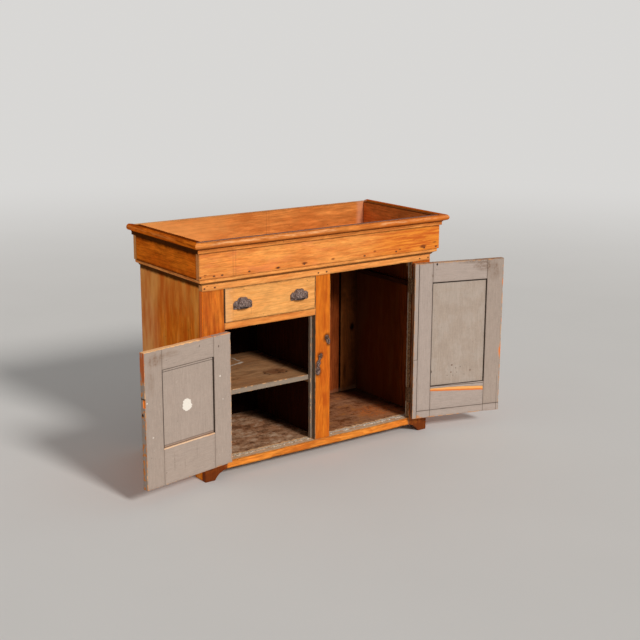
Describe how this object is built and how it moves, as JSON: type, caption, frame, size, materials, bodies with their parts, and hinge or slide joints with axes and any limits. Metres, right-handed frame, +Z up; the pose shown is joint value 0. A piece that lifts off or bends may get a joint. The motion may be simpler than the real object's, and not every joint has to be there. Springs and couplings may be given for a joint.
{
  "type": "dry sink cabinet",
  "caption": "Low wooden cupboard with an open basin-like well on top behind a moulded rim, panelled doors over shelved bays, and a drawer.",
  "frame": {"origin": "on the floor under the centre of the case, midway between its sides and between its front and back faces", "axes": "+X to the right seen from the front, +Y to the back, +Z up"},
  "size_m": [1.7357, 0.6385, 0.9546],
  "materials": {
    "orange_pine": "satin",
    "dark_pine": "matt",
    "pale_pine": "satin",
    "raw_pine": "matt",
    "painted_pine": "matt",
    "cast_iron": "matt",
    "fasteners": "satin"
  },
  "bodies": {
    "case": {"left_side": "orange_pine", "right_side": "orange_pine", "left_stile": "orange_pine", "centre_stile": "orange_pine", "right_stile": "orange_pine", "top_rail": "orange_pine", "drawer_rail": "raw_pine", "bottom_rail": "orange_pine", "back_boards": "dark_pine", "bottom_boards": "painted_pine", "cleats": "painted_pine", "centre_partition": "dark_pine", "middle_shelf": "dark_pine", "door_stops": "painted_pine", "right_wall_batten": "dark_pine", "frieze_blocks": "dark_pine", "drawer_runners": "raw_pine", "drawer_guides": "raw_pine", "well_floor": "dark_pine", "well_front_board": "orange_pine", "well_back_board": "dark_pine", "well_left_end": "orange_pine", "well_right_end": "orange_pine", "rim_front": "orange_pine", "rim_left": "orange_pine", "rim_right": "orange_pine", "bed_mould_front": "orange_pine", "bed_mould_left": "orange_pine", "bed_mould_right": "orange_pine", "case_nails": "fasteners", "case_hinge_leaves": "cast_iron", "case_hinge_screws": "fasteners", "hinge_pins": "fasteners", "catch_pivots": "fasteners"},
    "drawer": {"drawer_front": "pale_pine", "drawer_left_side": "raw_pine", "drawer_right_side": "raw_pine", "drawer_back": "raw_pine", "drawer_bottom": "raw_pine", "left_pull": "cast_iron", "right_pull": "cast_iron", "pull_screws": "fasteners"},
    "left_door": {"left_door_hinge_stile": "painted_pine", "left_door_free_stile": "painted_pine", "left_door_top_rail": "painted_pine", "left_door_bottom_rail": "painted_pine", "left_door_panel": "painted_pine", "left_door_hinge_leaves": "cast_iron", "left_door_hinge_screws": "fasteners"},
    "right_door": {"right_door_hinge_stile": "painted_pine", "right_door_free_stile": "painted_pine", "right_door_top_rail": "painted_pine", "right_door_bottom_rail": "painted_pine", "right_door_panel": "painted_pine", "right_door_hinge_leaves": "cast_iron", "right_door_hinge_screws": "fasteners", "right_door_edge_strip": "painted_pine", "right_door_bottom_strip": "painted_pine"},
    "left_catch": {"left_catch": "cast_iron"},
    "right_catch": {"right_catch": "cast_iron"}
  },
  "joints": [
    {"name": "left_door_hinge", "type": "hinge", "parent": "case", "child": "left_door", "pos_m": [-0.4615, -0.2515, 0.334], "axis": [0, 0, 1], "range_deg": [-6, 169]},
    {"name": "right_door_hinge", "type": "hinge", "parent": "case", "child": "right_door", "pos_m": [0.4585, -0.2515, 0.4145], "axis": [0, 0, 1], "range_deg": [-164.4, 10.6]},
    {"name": "drawer_slide", "type": "slide", "parent": "case", "child": "drawer", "axis": [0, -1, 0], "range_m": [0, 0.38]},
    {"name": "left_catch_swivel", "type": "hinge", "parent": "case", "child": "left_catch", "pos_m": [-0.014, -0.2498, 0.424], "axis": [0, 1, 0], "range_deg": [-12, 78]},
    {"name": "right_catch_swivel", "type": "hinge", "parent": "case", "child": "right_catch", "pos_m": [0.0167, -0.2498, 0.499], "axis": [0, 1, 0], "range_deg": [-64, 26]}
  ]
}
